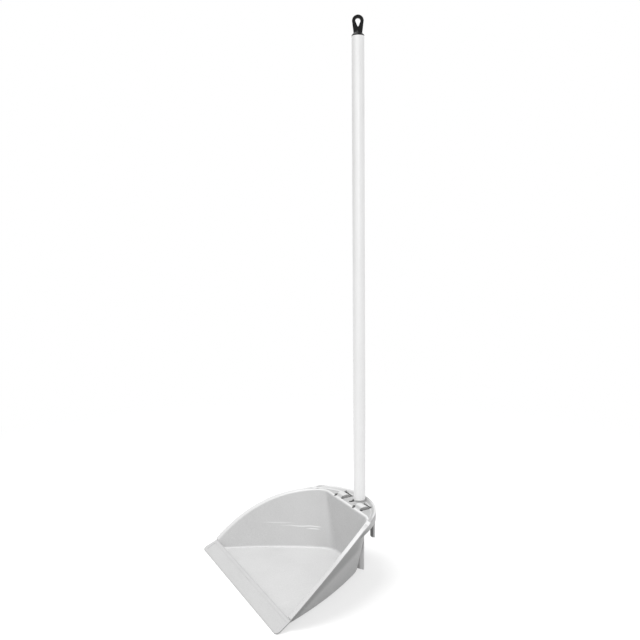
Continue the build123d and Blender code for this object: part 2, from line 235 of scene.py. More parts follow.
class PanSettings(bpy.types.PropertyGroup):
    """Finish of the moulded pan."""

    colour: FloatVectorProperty(
        name="Colour",
        description="Main colour of the grey moulding",
        subtype="COLOR",
        default=(0.495, 0.495, 0.495),
        min=0.0,
        max=1.0,
    )
    fleck_colour: FloatVectorProperty(
        name="Fleck Colour",
        description="Colour of the darker grains in the moulding",
        subtype="COLOR",
        default=(0.39, 0.39, 0.395),
        min=0.0,
        max=1.0,
    )
    # Edge Colour: pale worn edges, grain and scuffs, and also the painted light towards the rear of the
    # inside
    edge_colour: FloatVectorProperty(
        name="Edge Colour",
        description="Colour of edges that are rubbed pale",
        subtype="COLOR",
        default=(0.635, 0.635, 0.635),
        min=0.0,
        max=1.0,
    )
    # Slot Colour: painted shade, the near-black used for all the painted shade on the pan
    painted_shade_colour: FloatVectorProperty(
        name="Slot Colour",
        description="Colour of the dust that lies deep in the slots and corners",
        subtype="COLOR",
        default=(0.02, 0.02, 0.02),
        min=0.0,
        max=1.0,
    )
    # Rim Colour: painted highlight, the paler grey that stands for the sheen on the rim's top
    rim_highlight_colour: FloatVectorProperty(
        name="Rim Colour",
        description="Colour of the top of the rim, rubbed smooth and pale",
        subtype="COLOR",
        default=(0.62, 0.62, 0.62),
        min=0.0,
        max=1.0,
    )
    # Streak Colour: painted light, for the highlights inside the side walls and the lit faces of the legs and
    # hooks
    painted_light_colour: FloatVectorProperty(
        name="Streak Colour",
        description="Colour of the white streaks rubbed into the inside of the side walls",
        subtype="COLOR",
        default=(0.86, 0.86, 0.86),
        min=0.0,
        max=1.0,
    )
    # Deck Colour: painted shade, the darker grey that stands for the shade on the deck
    deck_shade_colour: FloatVectorProperty(
        name="Deck Colour",
        description="Colour of the deck, greyer with dust than the rest",
        subtype="COLOR",
        default=(0.345, 0.345, 0.345),
        min=0.0,
        max=1.0,
    )
    rim_run: FloatProperty(
        name="Rim Run",
        description="Distance behind the lip over which the rim climbs to the deck",
        unit="LENGTH",
        default=0.206,
        min=0.01,
    )
    rim_climb: FloatProperty(
        name="Rim Climb",
        description="Height that the rim climbs from the lip to the deck",
        unit="LENGTH",
        default=0.0925,
        min=0.0,
    )
    deck_front: FloatProperty(
        name="Deck Front",
        description="Distance behind the pan's middle at which the deck begins",
        unit="LENGTH",
        default=0.0915,
    )
    deck_height: FloatProperty(
        name="Deck Height",
        description="Height over the ground of the top of the deck",
        unit="LENGTH",
        default=0.110,
        min=0.001,
    )
    # Streak Height: height of the painted highlights inside the side walls
    highlight_height: FloatProperty(
        name="Streak Height",
        description="Height over the ground of the rubbed streaks inside the side walls",
        unit="LENGTH",
        default=0.040,
        min=0.001,
    )
    grain: FloatProperty(
        name="Grain",
        description="Size of the grains in the moulding",
        unit="LENGTH",
        default=0.0022,
        min=0.0002,
    )
    texture_depth: FloatProperty(
        name="Texture Depth",
        description="Depth of the mould's fine surface texture",
        unit="LENGTH",
        default=0.00012,
        min=0.0,
    )
    roughness: FloatProperty(
        name="Roughness",
        description="Roughness of the moulding",
        subtype="FACTOR",
        default=0.40,
        min=0.0,
        max=1.0,
    )
    scuff_height: FloatProperty(
        name="Scuff Height",
        description="Height over the ground up to which sweeping has scuffed the inside",
        unit="LENGTH",
        default=0.012,
        min=0.001,
    )


class LipSettings(bpy.types.PropertyGroup):
    """Finish of the soft front lip."""

    colour: FloatVectorProperty(
        name="Colour",
        description="Colour of the soft lip",
        subtype="COLOR",
        default=(0.435, 0.435, 0.435),
        min=0.0,
        max=1.0,
    )
    edge_colour: FloatVectorProperty(
        name="Edge Colour",
        description="Colour of the front edge where it rubs on the ground",
        subtype="COLOR",
        default=(0.32, 0.32, 0.32),
        min=0.0,
        max=1.0,
    )
    edge_width: FloatProperty(
        name="Edge Width",
        description="Width of the rubbed band along the front edge",
        unit="LENGTH",
        default=0.003,
        min=0.0002,
    )
    grain: FloatProperty(
        name="Grain",
        description="Size of the lip's fine surface grain",
        unit="LENGTH",
        default=0.0018,
        min=0.0002,
    )
    roughness: FloatProperty(
        name="Roughness",
        description="Roughness of the soft lip",
        subtype="FACTOR",
        default=0.58,
        min=0.0,
        max=1.0,
    )


class HandleSettings(bpy.types.PropertyGroup):
    """Finish of the handle's skin, tube and lower plug."""

    skin_colour: FloatVectorProperty(
        name="Skin Colour",
        description="Colour of the plastic skin on the tube",
        subtype="COLOR",
        default=(0.97, 0.97, 0.97),
        min=0.0,
        max=1.0,
    )
    skin_roughness: FloatProperty(
        name="Skin Roughness",
        description="Roughness of the plastic skin",
        subtype="FACTOR",
        default=0.30,
        min=0.0,
        max=1.0,
    )
    # Dull Side: the way that the side of the skin with painted shade faces
    shaded_side: FloatProperty(
        name="Dull Side",
        description="Turn from the dustpan's right to the way that the duller side of the skin faces",
        subtype="ANGLE",
        default=radians(-117.3),
    )
    drawn_line: FloatProperty(
        name="Drawn Line",
        description="Spacing of the faint lines drawn along the skin and the tube",
        unit="LENGTH",
        default=0.0016,
        min=0.0002,
    )
    steel_colour: FloatVectorProperty(
        name="Steel Colour",
        description="Colour of the zinc-plated tube",
        subtype="COLOR",
        default=(0.58, 0.59, 0.60),
        min=0.0,
        max=1.0,
    )
    plug_colour: FloatVectorProperty(
        name="Plug Colour",
        description="Colour of the plug in the tube's lower end",
        subtype="COLOR",
        default=(0.22, 0.22, 0.225),
        min=0.0,
        max=1.0,
    )


class CapSettings(bpy.types.PropertyGroup):
    """Finish of the black hanging cap."""

    colour: FloatVectorProperty(
        name="Colour",
        description="Colour of the hanging cap",
        subtype="COLOR",
        default=(0.007, 0.007, 0.0075),
        min=0.0,
        max=1.0,
    )
    edge_colour: FloatVectorProperty(
        name="Edge Colour",
        description="Colour of the cap's rubbed edges",
        subtype="COLOR",
        default=(0.030, 0.030, 0.031),
        min=0.0,
        max=1.0,
    )
    grain: FloatProperty(
        name="Grain",
        description="Size of the cap's moulded grain",
        unit="LENGTH",
        default=0.0009,
        min=0.0001,
    )
    roughness: FloatProperty(
        name="Roughness",
        description="Roughness of the cap",
        subtype="FACTOR",
        default=0.42,
        min=0.0,
        max=1.0,
    )


class StageSettings(bpy.types.PropertyGroup):
    """Camera, floor and lamps."""

    target: FloatVectorProperty(
        name="Target",
        description="Point that the camera looks at",
        subtype="XYZ",
        unit="LENGTH",
        default=(-0.00032, 0.03912, 0.45098),
    )
    distance: FloatProperty(
        name="Distance",
        description="Distance from the camera to its target",
        unit="LENGTH",
        default=1.27438,
        min=0.1,
    )
    azimuth: FloatProperty(
        name="Azimuth",
        description="Turn of the camera round the dustpan, from straight in front towards its right",
        subtype="ANGLE",
        default=radians(62.67),
    )
    elevation: FloatProperty(
        name="Elevation",
        description="Angle of the camera above the horizon",
        subtype="ANGLE",
        default=radians(7.15),
    )
    roll: FloatProperty(
        name="Roll",
        description="Turn of the camera about its own line of sight",
        subtype="ANGLE",
        default=radians(-0.59),
    )
    lens: FloatProperty(
        name="Lens",
        description="Focal length on a sensor 36 mm wide",
        default=41.0,
        min=1.0,
    )
    floor_colour: FloatVectorProperty(
        name="Floor Colour",
        description="Colour of the studio floor as it lights the dustpan",
        subtype="COLOR",
        default=(0.40, 0.40, 0.40),
        min=0.0,
        max=1.0,
    )
    floor_white: FloatProperty(
        name="Floor White",
        description="Share of plain white in the floor as it is seen, beside its own light and shade",
        subtype="FACTOR",
        default=0.60,
        min=0.0,
        max=1.0,
    )
    shadow_reach: FloatProperty(
        name="Shadow Reach",
        description="Distance from the dustpan at which the floor begins to fade to plain white",
        unit="LENGTH",
        default=0.45,
        min=0.05,
    )
    sky: FloatProperty(
        name="Surround",
        description="Strength of the even light from all round",
        default=0.80,
        min=0.0,
    )
    top_lamp: FloatProperty(
        name="Top Lamp",
        description="Power of the soft lamp above, in front and to the left",
        unit="POWER",
        default=40.0,
        min=0.0,
    )
    front_lamp: FloatProperty(
        name="Front Lamp",
        description="Power of the soft lamp behind the camera",
        unit="POWER",
        default=8.8,
        min=0.0,
    )


# Finishes

class PanPlace:
    """Where a point lies on the pan and which way it faces, as values of the pan's material."""

    def __init__(self, finish, settings):
        level = Fade(0.80, 0.98)
        sideways = Fade(0.010, 0.030)
        normal = facing(finish)
        self.finish = finish
        self.settings = settings
        self.point = local_place(finish)
        self.across = part_of(finish, self.point, "X")
        self.along = part_of(finish, self.point, "Y")
        self.height = part_of(finish, self.point, "Z")
        self.lift = part_of(finish, normal, "Z")
        self.upward = rise(finish, self.lift, level)
        outward = part_of(finish, normal, "X") * self.across
        self.outward = rise(finish, outward, sideways)
        self.inward = fall(finish, outward, Fade(-sideways.end, -sideways.start))
        # The rim's line climbs from the lip and comes level at the deck
        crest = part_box("lip_strip")[1].y
        self.run = (self.along - crest) * (1.0 / settings.rim_run)
        rest = 1.0 - self.run
        self.below_rim = settings.deck_height - settings.rim_climb * rest * rest - self.height
        self.over_deck = self.height - settings.deck_height
        self.behind_wall = self.along - settings.deck_front


def mark_deck_shade(pan):
    """Painted shade on the top of the deck with its tabs and its raised edge, but less so on their crests."""
    begins = Fade(0.045, 0.085)
    level = Fade(0.965, 0.990)
    raised = Fade(0.0002, 0.0008)
    top = Fade(0.003, 0.005)
    crest = Fade(0.0026, 0.0042)
    crest_share = 0.3
    flat = rise(pan.finish, pan.lift, level)
    proud = rise(pan.finish, pan.over_deck, raised)
    deck = rise(pan.finish, pan.along, begins) * (flat + proud - flat * proud)
    deck = deck * fall(pan.finish, pan.below_rim, top)
    return deck * span(pan.finish, pan.over_deck, crest.start, crest.end, 1.0, crest_share)


def mark_rim_highlight(pan, deck):
    """Painted highlight on the top of the rim outside the deck: half as strong on the left, and only at the
    rear on the right.
    """
    upward = Fade(0.35, 0.75)
    top = Fade(0.003, 0.007)
    middle = Fade(-0.050, 0.050)
    right_begins = Fade(-0.020, 0.025)
    left_share = 0.5
    right = rise(pan.finish, pan.across, middle)
    share = left_share - left_share * right + right * rise(pan.finish, pan.along, right_begins)
    rim = rise(pan.finish, pan.lift, upward) * fall(pan.finish, pan.below_rim, top)
    return rim * share * (1.0 - deck)


def mark_painted_light(pan, deck):
    """Painted light on the inside: paler towards the rear, on the side walls and on the floor."""
    wall = Fade(-0.070, 0.060)
    wall_least = -0.10
    wall_most = 0.40
    floor = Fade(-0.030, 0.070)
    floor_most = 0.22
    polish = pan.inward * span(pan.finish, pan.along, wall.start, wall.end, wall_least, wall_most)
    floor_share = span(pan.finish, pan.along, floor.start, floor.end, 0.0, floor_most)
    return polish + pan.upward * (1.0 - deck) * floor_share


def mark_fold(pan):
    """The shaded band below the rim's fold, wider towards the rear and gone at the rear corners."""
    edge = Fade(0.001, 0.006)
    depth = Fade(0.016, 0.032)
    widening = 0.035
    ends = Fade(-0.036, -0.004)
    fold = pan.outward * (1.0 - pan.upward) * rise(pan.finish, pan.below_rim, edge)
    fold = fold * fall(pan.finish, pan.below_rim - widening * pan.run, depth)
    return fold * fall(pan.finish, pan.behind_wall, ends)


def mark_keel_shade(pan):
    """Painted shade on the underside of the bottom edge, on the outside."""
    underside = Fade(-0.75, -0.50)
    top = Fade(0.010, 0.016)
    return pan.outward * fall(pan.finish, pan.lift, underside) * fall(pan.finish, pan.height, top)


def mark_rear(pan):
    """All that lies behind the back wall and below the deck's turned-down edge."""
    begins = Fade(-0.001, 0.001)
    below = Fade(0.011, 0.013)
    return rise(pan.finish, pan.behind_wall, begins) * rise(pan.finish, pan.below_rim, below)


def mark_lit_feet(pan, rear):
    """The lower parts of the legs, for painted light."""
    top = Fade(0.025, 0.060)
    return rear * fall(pan.finish, pan.height, top)


def mark_hooks(pan, rear):
    """The front and the back of the hooks: painted shade on the front and painted light on the back."""
    foot = Fade(0.060, 0.066)
    inside = Fade(0.052, 0.056)
    front_ends = Fade(0.1085, 0.1105)
    back_begins = Fade(0.1095, 0.1115)
    sideways = pan.finish.node("ShaderNodeMath", {"operation": "ABSOLUTE"}, {0: pan.across})
    hook = rear * rise(pan.finish, pan.height, foot) * rise(pan.finish, sideways, inside)
    front = hook * fall(pan.finish, pan.along, front_ends)
    back = hook * rise(pan.finish, pan.along, back_begins)
    return front, back


def mark_scuffs(pan):
    """Sweeping scuffs along the floor."""
    draw = (1.0, 0.035, 1.0)
    width = 0.0016
    strong = Fade(0.60, 0.74)
    lowest_share = 0.2
    height = pan.settings.scuff_height
    sweep = cloud(pan.finish, pan.point * draw, width, detail=3.0, roughness=0.7)
    swept = fall(pan.finish, pan.height, Fade(lowest_share * height, height))
    return rise(pan.finish, sweep, strong) * swept * pan.upward


def mark_painted_highlights(pan):
    """Painted highlights inside the side walls: a long one, a short one below it and a faint one above."""
    wave_size = 0.030
    wave_height = 0.004
    long_half = 0.0016
    long_begins = Fade(0.000, 0.050)
    long_ends = Fade(0.066, 0.076)
    short_drop = 0.0042
    short_half = 0.0014
    short_begins = Fade(0.046, 0.058)
    short_ends = Fade(0.064, 0.072)
    faint_rise = 0.0045
    faint_half = 0.0018
    faint_begins = Fade(-0.030, 0.000)
    faint_ends = Fade(0.010, 0.040)
    faint_share = 0.4
    middle = pan.settings.highlight_height
    level = pan.height + swing(cloud(pan.finish, pan.point, wave_size, detail=1.0), wave_height)

    def streak(height, half, begins, ends):
        line = thin_line(pan.finish, level, height, half)
        return line * rise(pan.finish, pan.along, begins) * fall(pan.finish, pan.along, ends)

    long_streak = streak(middle, long_half, long_begins, long_ends)
    short_streak = streak(middle - short_drop, short_half, short_begins, short_ends)
    faint_streak = streak(middle + faint_rise, faint_half, faint_begins, faint_ends)
    return (long_streak + short_streak + faint_share * faint_streak) * pan.inward


def mark_slot_shade(pan):
    """Painted shade in the depths of the deck's slots."""
    reach = 0.009
    clear = Fade(0.48, 0.80)
    begins = Fade(-0.003, 0.000)
    lowest = Fade(-0.016, -0.012)
    top = Fade(-0.0004, 0.0)
    slot = shut_in(pan.finish, reach, clear) * rise(pan.finish, pan.behind_wall, begins)
    return slot * rise(pan.finish, pan.over_deck, lowest) * fall(pan.finish, pan.over_deck, top)


def mark_shadow_spots(pan):
    """Painted shadow: dark spots on the deck by the handle and by the front ends of the tabs' slots."""
    left_tab = (-0.043, 0.0915, 0.0)
    handle = (0.000, 0.0985, 0.0)
    right_tab = (0.025, 0.0905, 0.0)
    radius = Fade(0.0026, 0.0040)
    top = Fade(0.001, 0.002)
    flat_place = pan.point * (1.0, 1.0, 0.0)
    spots = 0.0
    for spot in (left_tab, handle, right_tab):
        spots = fall(pan.finish, distance(pan.finish, flat_place, spot), radius) + spots
    return spots * fall(pan.finish, pan.below_rim, top)


class PanMarks:
    """The marks on the pan that its colour, its roughness and its relief share."""

    def __init__(self, pan):
        drift_size = 0.060
        edge_width = 0.0018
        # self.deck: where the painted shade on the deck lies
        self.deck = mark_deck_shade(pan)
        # self.rim: where the painted highlight on the rim lies
        self.rim = mark_rim_highlight(pan, self.deck)
        self.scuff = mark_scuffs(pan)
        # self.streak: the painted highlights inside the side walls
        self.streak = mark_painted_highlights(pan)
        self.grain = cloud(pan.finish, pan.point, pan.settings.grain, detail=3.0, roughness=0.65)
        self.drift = cloud(pan.finish, pan.point, drift_size)
        self.edge = worn_edge(pan.finish, edge_width)


def colour_pan(pan, marks):
    """The pan's colour: the moulding's grain, then wear, then painted light and shade, and the rim's painted
    highlight and the slots' painted shade last.
    """
    fleck = Fade(0.50, 0.78)
    fleck_share = 0.55
    pale = Fade(0.24, 0.46)
    pale_share = 0.45
    scuff_share = 0.35
    edge_share = 0.60
    highlight_share = 0.85
    deck_shade_share = 0.85
    foot_light_share = 0.90
    hook_light_share = 0.70
    fold_shade = 0.42
    keel_shade = 0.55
    hook_shade = 0.75
    rim_highlight_share = 0.90
    slot_shade_share = 0.95
    shadow_spot_share = 0.92
    finish = pan.finish
    settings = pan.settings
    rear = mark_rear(pan)
    shaded_hook_front, lit_hook_back = mark_hooks(pan, rear)
    flecked = fleck_share * rise(finish, marks.grain, fleck)
    paled = pale_share * fall(finish, marks.grain, pale)
    # rubbed: painted light on the lower legs and the backs of the hooks
    rubbed = foot_light_share * mark_lit_feet(pan, rear) + hook_light_share * lit_hook_back
    # Painted shade below the rim's fold, under the bottom edge and on the fronts of the hooks
    shaded = fold_shade * mark_fold(pan) + keel_shade * mark_keel_shade(pan) + hook_shade * shaded_hook_front
    colour = blend(finish, flecked, settings.colour, settings.fleck_colour)
    colour = blend(finish, paled, colour, settings.edge_colour)
    colour = blend(finish, scuff_share * marks.scuff, colour, settings.edge_colour)
    colour = blend(finish, edge_share * marks.edge, colour, settings.edge_colour)
    # Painted light on the inside, paler towards the rear
    colour = blend(finish, mark_painted_light(pan, marks.deck), colour, settings.edge_colour)
    # Painted highlights inside the side walls
    colour = blend(finish, highlight_share * marks.streak, colour, settings.painted_light_colour)
    # Painted shade on the deck
    colour = blend(finish, deck_shade_share * marks.deck, colour, settings.deck_shade_colour)
    # Painted light on the lower legs and the backs of the hooks
    colour = blend(finish, rubbed, colour, settings.painted_light_colour)
    colour = blend(finish, shaded, colour, settings.painted_shade_colour)
    # Painted highlight on the rim
    colour = blend(finish, rim_highlight_share * marks.rim, colour, settings.rim_highlight_colour)
    # Painted shade deep in the deck's slots
    colour = blend(finish, slot_shade_share * mark_slot_shade(pan), colour, settings.painted_shade_colour)
    # Painted shadow in the spots by the handle and the tabs
    colour = blend(finish, shadow_spot_share * mark_shadow_spots(pan), colour, settings.painted_shade_colour)
    return colour * vary(finish, marks.drift, least=0.975, most=1.02)


def roughen_pan(pan, marks):
    """The pan's roughness: more where it is scuffed and less on worn edges, on the rim and on the painted
    highlights.
    """
    grain_swing = 0.10
    drift_swing = 0.10
    scuff_rough = 0.12
    edge_gloss = 0.08
    rim_gloss = 0.10
    highlight_gloss = 0.12
    roughness = pan.settings.roughness + swing(marks.grain, grain_swing) + swing(marks.drift, drift_swing)
    roughness = roughness + scuff_rough * marks.scuff - edge_gloss * marks.edge
    return roughness - rim_gloss * marks.rim - highlight_gloss * marks.streak


def emboss_pan(pan, marks):
    """The pan's relief: the mould's fine texture over the grain, with scuffs cut into it."""
    skin_size = 0.00075
    skin_relief = 0.75
    grain_relief = 0.25
    scuff_relief = 0.35
    skin = cloud(pan.finish, pan.point, skin_size, roughness=0.6)
    surface = skin_relief * skin + grain_relief * marks.grain - scuff_relief * marks.scuff
    return relief(pan.finish, surface, pan.settings.texture_depth, strength=0.55)


def finish_pan(settings):
    """Grey polypropylene: grained and scuffed, with pale worn edges, painted highlights on the rim and
    inside, and painted shade on the deck and in the slots.
    """
    material, finish = new_material("pan_plastic")
    pan = PanPlace(finish, settings)
    marks = PanMarks(pan)
    sockets = {
        "Base Color": colour_pan(pan, marks),
        "Roughness": roughen_pan(pan, marks),
        "IOR": 1.49,
        "Normal": emboss_pan(pan, marks),
    }
    close_material(finish, sockets)
    return material


def finish_lip(settings):
    """Soft rubber: matt grey with lines along its length, a rubbed front edge and a dark rear joint."""
    lengthwise = (0.03, 1.0, 1.0)
    line_width = 0.0012
    drift_size = 0.045
    front_to_back = (1.0, 0.12, 0.12)
    streak_width = 0.0030
    streak_fade = Fade(0.35, 0.65)
    least_rubbed = 0.45
    edge_width = 0.0012
    joint = Fade(-0.0022, -0.0008)
    rubbed_share = 0.5
    seam_share = 0.4
    grain_swing = 0.12
    drift_swing = 0.08
    edge_gloss = 0.10
    grain_relief = 0.6
    line_relief = 0.4
    relief_depth = 0.00016
    low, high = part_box("lip_strip")
    material, finish = new_material("lip_rubber")
    place = local_place(finish)
    along = part_of(finish, place, "Y")
    grain = cloud(finish, place, settings.grain, detail=3.0, roughness=0.6)
    lines = cloud(finish, place * lengthwise, line_width, roughness=0.6)
    drift = cloud(finish, place, drift_size)
    streak = cloud(finish, place * front_to_back, streak_width, detail=3.0, roughness=0.7)
    rubbed = fall(finish, along, Fade(low.y, low.y + settings.edge_width))
    rubbed = rubbed * span(finish, streak, streak_fade.start, streak_fade.end, least_rubbed, 1.0)
    seam = rise(finish, along - high.y, joint)
    edge = worn_edge(finish, edge_width)
    colour = vary(finish, grain, least=0.93, most=1.05) * settings.colour
    colour = colour * vary(finish, lines, least=0.98, most=1.02)
    colour = colour * vary(finish, drift, least=0.98, most=1.015)
    colour = blend(finish, rubbed_share * rubbed, colour, settings.edge_colour)
    colour = blend(finish, seam_share * seam, colour, settings.edge_colour)
    roughness = settings.roughness + swing(grain, grain_swing) + swing(drift, drift_swing)
    surface = grain_relief * grain + line_relief * lines
    sockets = {
        "Base Color": colour,
        "Roughness": roughness - edge_gloss * edge,
        "IOR": 1.50,
        "Normal": relief(finish, surface, relief_depth, strength=0.6),
    }
    close_material(finish, sockets)
    return material


def finish_sleeve(settings):
    """White plastic skin on the tube: faint lines along it, handling marks, and painted shade on one side
    that grows towards the top.
    """
    line_draw = (1.0, 1.0, 0.012)
    wave_draw = (1.0, 1.0, 0.30)
    mark_draw = (1.0, 1.0, 0.25)
    wave_size = 0.018
    speck_spacing = 0.009
    speck_radius = Fade(0.035, 0.065)
    speck_colour = (0.45, 0.45, 0.45)
    held = Fade(-0.34, -0.10)
    mark_size = 0.007
    mark_fade = Fade(0.56, 0.80)
    mark_colour = (0.62, 0.62, 0.61)
    side_shade_fade = Fade(0.12, 1.00)
    side_shade_foot = 0.15
    side_shade_low = 0.15
    side_shade_high = 0.44
    mark_share = 0.22
    speck_share = 0.12
    wave_swing = 0.10
    line_swing = 0.06
    mark_rough = 0.14
    line_relief = 0.55
    wave_relief = 0.45
    relief_depth = 0.00010
    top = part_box("handle_sleeve")[1].z
    material, finish = new_material("sleeve_plastic")
    place = local_place(finish)
    height = part_of(finish, place, "Z")
    lines = cloud(finish, place * line_draw, settings.drawn_line, roughness=0.6)
    wave = cloud(finish, place * wave_draw, wave_size, detail=1.0)
    specks = fall(finish, cells(finish, place, speck_spacing), speck_radius)
    marks = rise(finish, cloud(finish, place * mark_draw, mark_size, detail=4.0, roughness=0.7), mark_fade)
    marks = marks * rise(finish, height - top, held)
    # Painted shade on one side of the skin, stronger towards the top
    shaded_way = (cos(settings.shaded_side), sin(settings.shaded_side), 0.0)
    side_shade = rise(finish, likeness(finish, facing(finish), shaded_way), side_shade_fade)
    side_shade = side_shade * span(finish, height, side_shade_foot, top, side_shade_low, side_shade_high)
    colour = vary(finish, wave, least=0.985, most=1.01) * settings.skin_colour
    colour = colour * vary(finish, lines, least=0.99, most=1.01)
    colour = colour * (1.0 - side_shade)
    colour = blend(finish, mark_share * marks, colour, mark_colour)
    colour = blend(finish, speck_share * specks, colour, speck_colour)
    roughness = settings.skin_roughness + swing(wave, wave_swing) + swing(lines, line_swing)
    surface = line_relief * lines + wave_relief * wave
    sockets = {
        "Base Color": colour,
        "Roughness": roughness + mark_rough * marks,
        "IOR": 1.50,
        "Coat Weight": 0.15,
        "Coat Roughness": 0.12,
        "Normal": relief(finish, surface, relief_depth, strength=0.35),
    }
    close_material(finish, sockets)
    return material


def finish_tube(settings):
    """Zinc-plated steel: drawn lines along the tube under a faint crystal spangle."""
    line_draw = (1.0, 1.0, 0.010)
    spangle_draw = (1.0, 1.0, 0.55)
    line_share = 0.5
    spangle_size = 0.006
    spangle_fade = Fade(0.10, 0.60)
    spangle_least = 0.90
    spangle_most = 1.06
    bloom_size = 0.014
    bloom_fade = Fade(0.52, 0.78)
    bloom_colour = (0.70, 0.70, 0.69)
    bloom_share = 0.35
    line_swing = 0.22
    spangle_rough = 0.10
    bloom_rough = 0.20
    line_relief = 0.7
    spangle_relief = 0.3
    base_roughness = 0.30
    relief_depth = 0.00006
    material, finish = new_material("tube_steel")
    place = local_place(finish)
    line_width = line_share * settings.drawn_line
    lines = cloud(finish, place * line_draw, line_width, detail=3.0, roughness=0.65)
    spangle = cells(finish, place * spangle_draw, spangle_size)
    bloom = rise(finish, cloud(finish, place, bloom_size, detail=4.0, roughness=0.65), bloom_fade)
    tint = span(finish, spangle, spangle_fade.start, spangle_fade.end, spangle_least, spangle_most)
    colour = tint * settings.steel_colour
    colour = colour * vary(finish, lines, least=0.94, most=1.05)
    colour = blend(finish, bloom_share * bloom, colour, bloom_colour)
    roughness = base_roughness + swing(lines, line_swing) + spangle_rough * spangle
    surface = line_relief * lines + spangle_relief * spangle
    sockets = {
        "Base Color": colour,
        "Metallic": 1.0 - bloom_share * bloom,
        "Roughness": roughness + bloom_rough * bloom,
        "Normal": relief(finish, surface, relief_depth, strength=0.4),
    }
    close_material(finish, sockets)
    return material


def finish_plug(settings):
    """Dark grey plug: moulded grain with rubbed rings where it slides."""
    grain_size = 0.0010
    ring_draw = (0.05, 0.05, 1.0)
    ring_width = 0.0011
    edge_width = 0.0010
    edge_colour = (0.36, 0.36, 0.36)
    edge_share = 0.5
    grain_swing = 0.16
    ring_swing = 0.10
    edge_gloss = 0.08
    grain_relief = 0.5
    ring_relief = 0.5
    base_roughness = 0.46
    relief_depth = 0.00010
    material, finish = new_material("plug_plastic")
    place = local_place(finish)
    grain = cloud(finish, place, grain_size, detail=3.0, roughness=0.6)
    rings = cloud(finish, place * ring_draw, ring_width, roughness=0.6)
    edge = worn_edge(finish, edge_width)
    colour = vary(finish, grain, least=0.88, most=1.10) * settings.plug_colour
    colour = colour * vary(finish, rings, least=0.95, most=1.05)
    colour = blend(finish, edge_share * edge, colour, edge_colour)
    roughness = base_roughness + swing(grain, grain_swing) + swing(rings, ring_swing)
    surface = grain_relief * grain + ring_relief * rings
    sockets = {
        "Base Color": colour,
        "Roughness": roughness - edge_gloss * edge,
        "IOR": 1.53,
        "Normal": relief(finish, surface, relief_depth, strength=0.5),
    }
    close_material(finish, sockets)
    return material


def finish_cap(settings):
    """Black plastic: leathery moulded grain, greyer where the edges are rubbed."""
    grain_share = 0.5
    drift_size = 0.008
    edge_width = 0.0014
    edge_fade = Fade(0.30, 0.65)
    least_rubbed = 0.35
    edge_share = 0.7
    grain_swing = 0.14
    drift_swing = 0.12
    edge_gloss = 0.08
    pebble_relief = 0.7
    grain_relief = 0.3
    relief_depth = 0.00014
    material, finish = new_material("cap_plastic")
    place = local_place(finish)
    pebble = cells(finish, place, settings.grain)
    grain = cloud(finish, place, grain_share * settings.grain, roughness=0.6)
    drift = cloud(finish, place, drift_size)
    edge = worn_edge(finish, edge_width)
    edge = edge * span(finish, drift, edge_fade.start, edge_fade.end, least_rubbed, 1.0)
    colour = vary(finish, grain, least=0.75, most=1.30) * settings.colour
    colour = blend(finish, edge_share * edge, colour, settings.edge_colour)
    roughness = settings.roughness + swing(grain, grain_swing) + swing(drift, drift_swing)
    surface = pebble_relief * pebble + grain_relief * grain
    sockets = {
        "Base Color": colour,
        "Roughness": roughness - edge_gloss * edge,
        "IOR": 1.50,
        "Specular IOR Level": 0.12,
        "Normal": relief(finish, surface, relief_depth, strength=0.6),
    }
    close_material(finish, sockets)
    return material


# Stage

def camera_turn(settings):
    """The camera's axes as a matrix: its right, its up and the way back from its target."""
    azimuth, elevation = settings.azimuth, settings.elevation
    back = Vector((sin(azimuth) * cos(elevation), -cos(azimuth) * cos(elevation), sin(elevation)))
    level = Vector((cos(azimuth), sin(azimuth), 0.0))
    upright = back.cross(level)
    right = cos(settings.roll) * level + sin(settings.roll) * upright
    up = cos(settings.roll) * upright - sin(settings.roll) * level
    return Matrix((right, up, back)).transposed()


def add_camera(settings):
    """The camera, at the photograph's place and angle."""
    data = bpy.data.cameras.new("studio_camera")
    data.sensor_width = 36.0
    data.lens = settings.lens
    data.clip_start = 0.05
    data.clip_end = 60.0
    camera = bpy.data.objects.new("studio_camera", data)
    turn = camera_turn(settings)
    place = Vector(settings.target) + settings.distance * turn.col[2]
    camera.matrix_world = Matrix.Translation(place) @ turn.to_4x4()
    bpy.context.scene.collection.objects.link(camera)
    bpy.context.scene.camera = camera


def add_lamp(name, power, size, place, target):
    """A square soft lamp at a place, aimed at a target."""
    data = bpy.data.lights.new(name, "AREA")
    data.shape = "SQUARE"
    data.size = size
    data.energy = power
    lamp = bpy.data.objects.new(name, data)
    aim = Vector(place) - Vector(target)
    lamp.matrix_world = Matrix.Translation(place) @ aim.to_track_quat("Z", "Y").to_matrix().to_4x4()
    bpy.context.scene.collection.objects.link(lamp)


def seen_directly(finish):
    """1 for what is seen straight, in a mirror or through glass, and 0 for light that falls on things."""
    straight = finish.node("ShaderNodeLightPath", output="Is Camera Ray")
    mirrored = finish.node("ShaderNodeLightPath", output="Is Glossy Ray")
    through = finish.node("ShaderNodeLightPath", output="Is Transmission Ray")
    either = finish.node("ShaderNodeMath", {"operation": "MAXIMUM"}, {0: mirrored, 1: through})
    return finish.node("ShaderNodeMath", {"operation": "MAXIMUM"}, {0: straight, 1: either})


